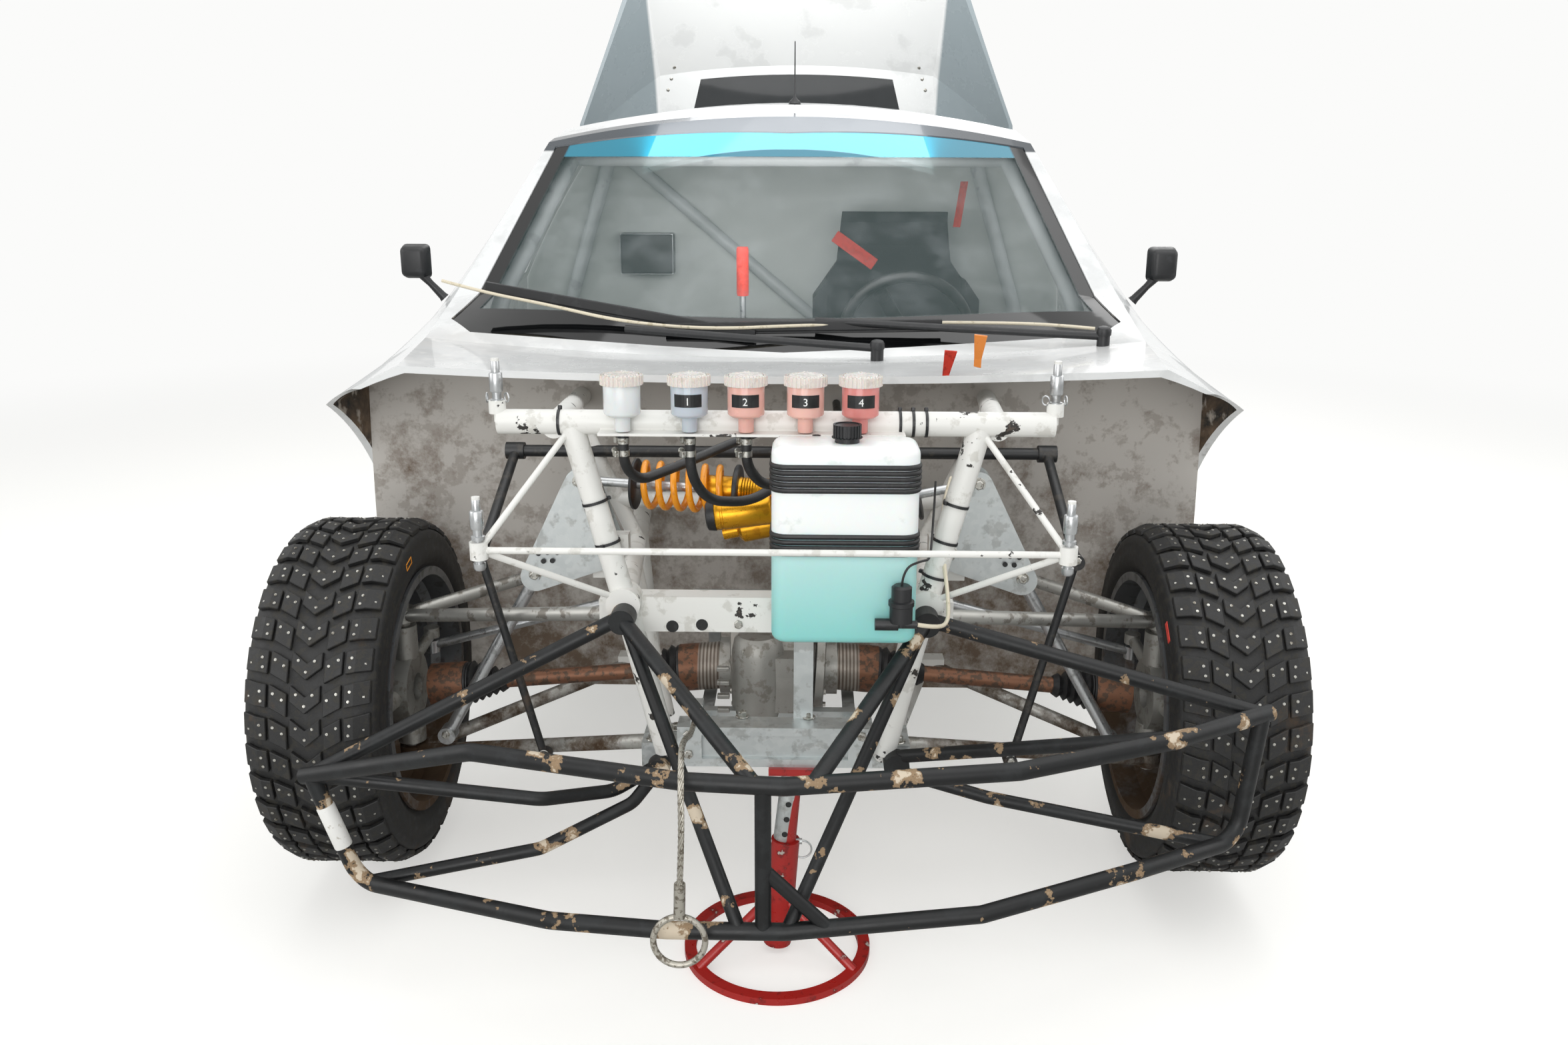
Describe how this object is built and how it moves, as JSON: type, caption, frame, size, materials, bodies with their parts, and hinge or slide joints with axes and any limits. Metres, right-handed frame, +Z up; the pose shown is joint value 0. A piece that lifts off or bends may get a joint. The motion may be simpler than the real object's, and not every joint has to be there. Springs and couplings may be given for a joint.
{
  "type": "rally car",
  "caption": "Closed tube-framed rally car on a nose stand, front bodywork off and rear clam tipped up, with turning wheels, steering and doors.",
  "frame": {"origin": "on the floor, below the middle of the bounding box", "axes": "+Z up, -Y towards the nose, +X towards the driver's side"},
  "size_m": [1.826, 4.2068, 2.1251],
  "materials": {
    "white_paint": "gloss paint, dusty",
    "frame_white": "powder coat, chipped",
    "frame_black": "powder coat, worn to rust",
    "cage_grey": "satin paint",
    "screen_glass": "clear polycarbonate",
    "galvanised": "zinc plated",
    "cast_casing": "as cast, dusty",
    "rusty_steel": "light rust",
    "arm_black": "satin paint",
    "arm_grey": "zinc plated, dusty",
    "spring_orange": "gloss paint",
    "damper_metal": "anodised",
    "link_aluminium": "machined",
    "tank_white": "translucent polyethylene",
    "cup_clear": "clear plastic with fluid",
    "black_plastic": "moulded",
    "black_rubber": "matt",
    "tyre_rubber": "studded, worn",
    "rim_grey": "painted, polished lip",
    "seat_shell": "moulded fibre shell",
    "stand_red": "gloss paint, scratched",
    "engine_alloy": "as cast",
    "exhaust_steel": "heat tinted",
    "radiator_alloy": "bare",
    "tank_black": "moulded",
    "lamp_red": "lens",
    "wire_rope": "galvanised strands"
  },
  "bodies": {
    "chassis": {"body_shell": "white_paint", "windscreen": "screen_glass", "floor_tub": "cage_grey", "roll_cage": "cage_grey", "bulkheads": "white_paint", "front_frame": "frame_white", "bumper_frame": "frame_black", "front_subframe": "galvanised", "front_diff": "cast_casing", "wishbones": "arm_grey", "front_rockers": "galvanised", "front_pushrods": "link_aluminium", "front_dampers": "damper_metal", "front_springs": "spring_orange", "anti_roll_bar": "arm_black", "washer_tank": "tank_white", "fluid_cups": "cup_clear", "wipers": "black_plastic", "dashboard": "black_plastic", "seat": "seat_shell", "cockpit_fittings": "link_aluminium", "rear_frame": "frame_white", "engine": "engine_alloy", "gearbox": "cast_casing", "exhaust": "exhaust_steel", "radiator": "radiator_alloy", "fuel_tank": "tank_black", "rear_uprights": "cast_casing", "rear_coilovers": "spring_orange", "driveshafts": "rusty_steel", "front_stand": "stand_red", "fluid_hoses": "black_rubber", "tow_rope": "wire_rope", "rope_loop": "wire_rope"},
    "front_wheel_left": {"tyre_front_left": "tyre_rubber", "rim_front_left": "rim_grey"},
    "front_wheel_right": {"tyre_front_right": "tyre_rubber", "rim_front_right": "rim_grey"},
    "rear_wheel_left": {"tyre_rear_left": "tyre_rubber", "rim_rear_left": "rim_grey"},
    "rear_wheel_right": {"tyre_rear_right": "tyre_rubber", "rim_rear_right": "rim_grey"},
    "left_knuckle": {"knuckle_left": "cast_casing"},
    "right_knuckle": {"knuckle_right": "cast_casing"},
    "steering_rack": {"tie_rods": "link_aluminium"},
    "handwheel": {"steering_wheel": "black_rubber"},
    "left_door": {"door_left": "white_paint", "door_glass_left": "screen_glass", "mirror_left": "black_plastic"},
    "right_door": {"door_right": "white_paint", "door_glass_right": "screen_glass", "mirror_right": "black_plastic"},
    "clam": {"rear_clam": "white_paint", "clam_glass": "screen_glass", "rear_wing": "black_plastic", "tail_lamps": "lamp_red"}
  },
  "joints": [
    {"name": "steer_left", "type": "hinge", "parent": "chassis", "child": "left_knuckle", "pos_m": [0.7, -1.44345, 0.36], "axis": [0, 0, 1], "range_deg": [-28, 28]},
    {"name": "steer_right", "type": "hinge", "parent": "chassis", "child": "right_knuckle", "pos_m": [-0.7, -1.44345, 0.36], "axis": [0, 0, 1], "range_deg": [-28, 28]},
    {"name": "rack_slide", "type": "slide", "parent": "chassis", "child": "steering_rack", "axis": [1, 0, 0], "range_m": [-0.064, 0.064]},
    {"name": "handwheel_turn", "type": "hinge", "parent": "chassis", "child": "handwheel", "pos_m": [0.3, -0.43345, 0.905], "axis": [0, 0.9428, 0.3334], "range_deg": [-336, 336]},
    {"name": "front_wheel_left_roll", "type": "hinge", "parent": "left_knuckle", "child": "front_wheel_left", "pos_m": [0.768, -1.44345, 0.36], "axis": [1, 0, 0], "continuous": true},
    {"name": "front_wheel_right_roll", "type": "hinge", "parent": "right_knuckle", "child": "front_wheel_right", "pos_m": [-0.768, -1.44345, 0.36], "axis": [1, 0, 0], "continuous": true},
    {"name": "rear_wheel_left_roll", "type": "hinge", "parent": "chassis", "child": "rear_wheel_left", "pos_m": [0.768, 1.05655, 0.32], "axis": [1, 0, 0], "continuous": true},
    {"name": "rear_wheel_right_roll", "type": "hinge", "parent": "chassis", "child": "rear_wheel_right", "pos_m": [-0.768, 1.05655, 0.32], "axis": [1, 0, 0], "continuous": true},
    {"name": "left_door_swing", "type": "hinge", "parent": "chassis", "child": "left_door", "pos_m": [0.859, -0.83745, 0.5], "axis": [0, 0, -1], "range_deg": [0, 65]},
    {"name": "right_door_swing", "type": "hinge", "parent": "chassis", "child": "right_door", "pos_m": [-0.859, -0.83745, 0.5], "axis": [0, 0, 1], "range_deg": [0, 65]},
    {"name": "clam_tip", "type": "hinge", "parent": "chassis", "child": "clam", "pos_m": [0, 1.64155, 0.56], "axis": [1, 0, 0], "range_deg": [0, 45]}
  ],
  "couplings": [
    {"joint": "steer_right", "follows": "steer_left", "ratio": 1},
    {"joint": "rack_slide", "follows": "steer_left", "m_per_rad": -0.13},
    {"joint": "handwheel_turn", "follows": "steer_left", "ratio": 12}
  ]
}
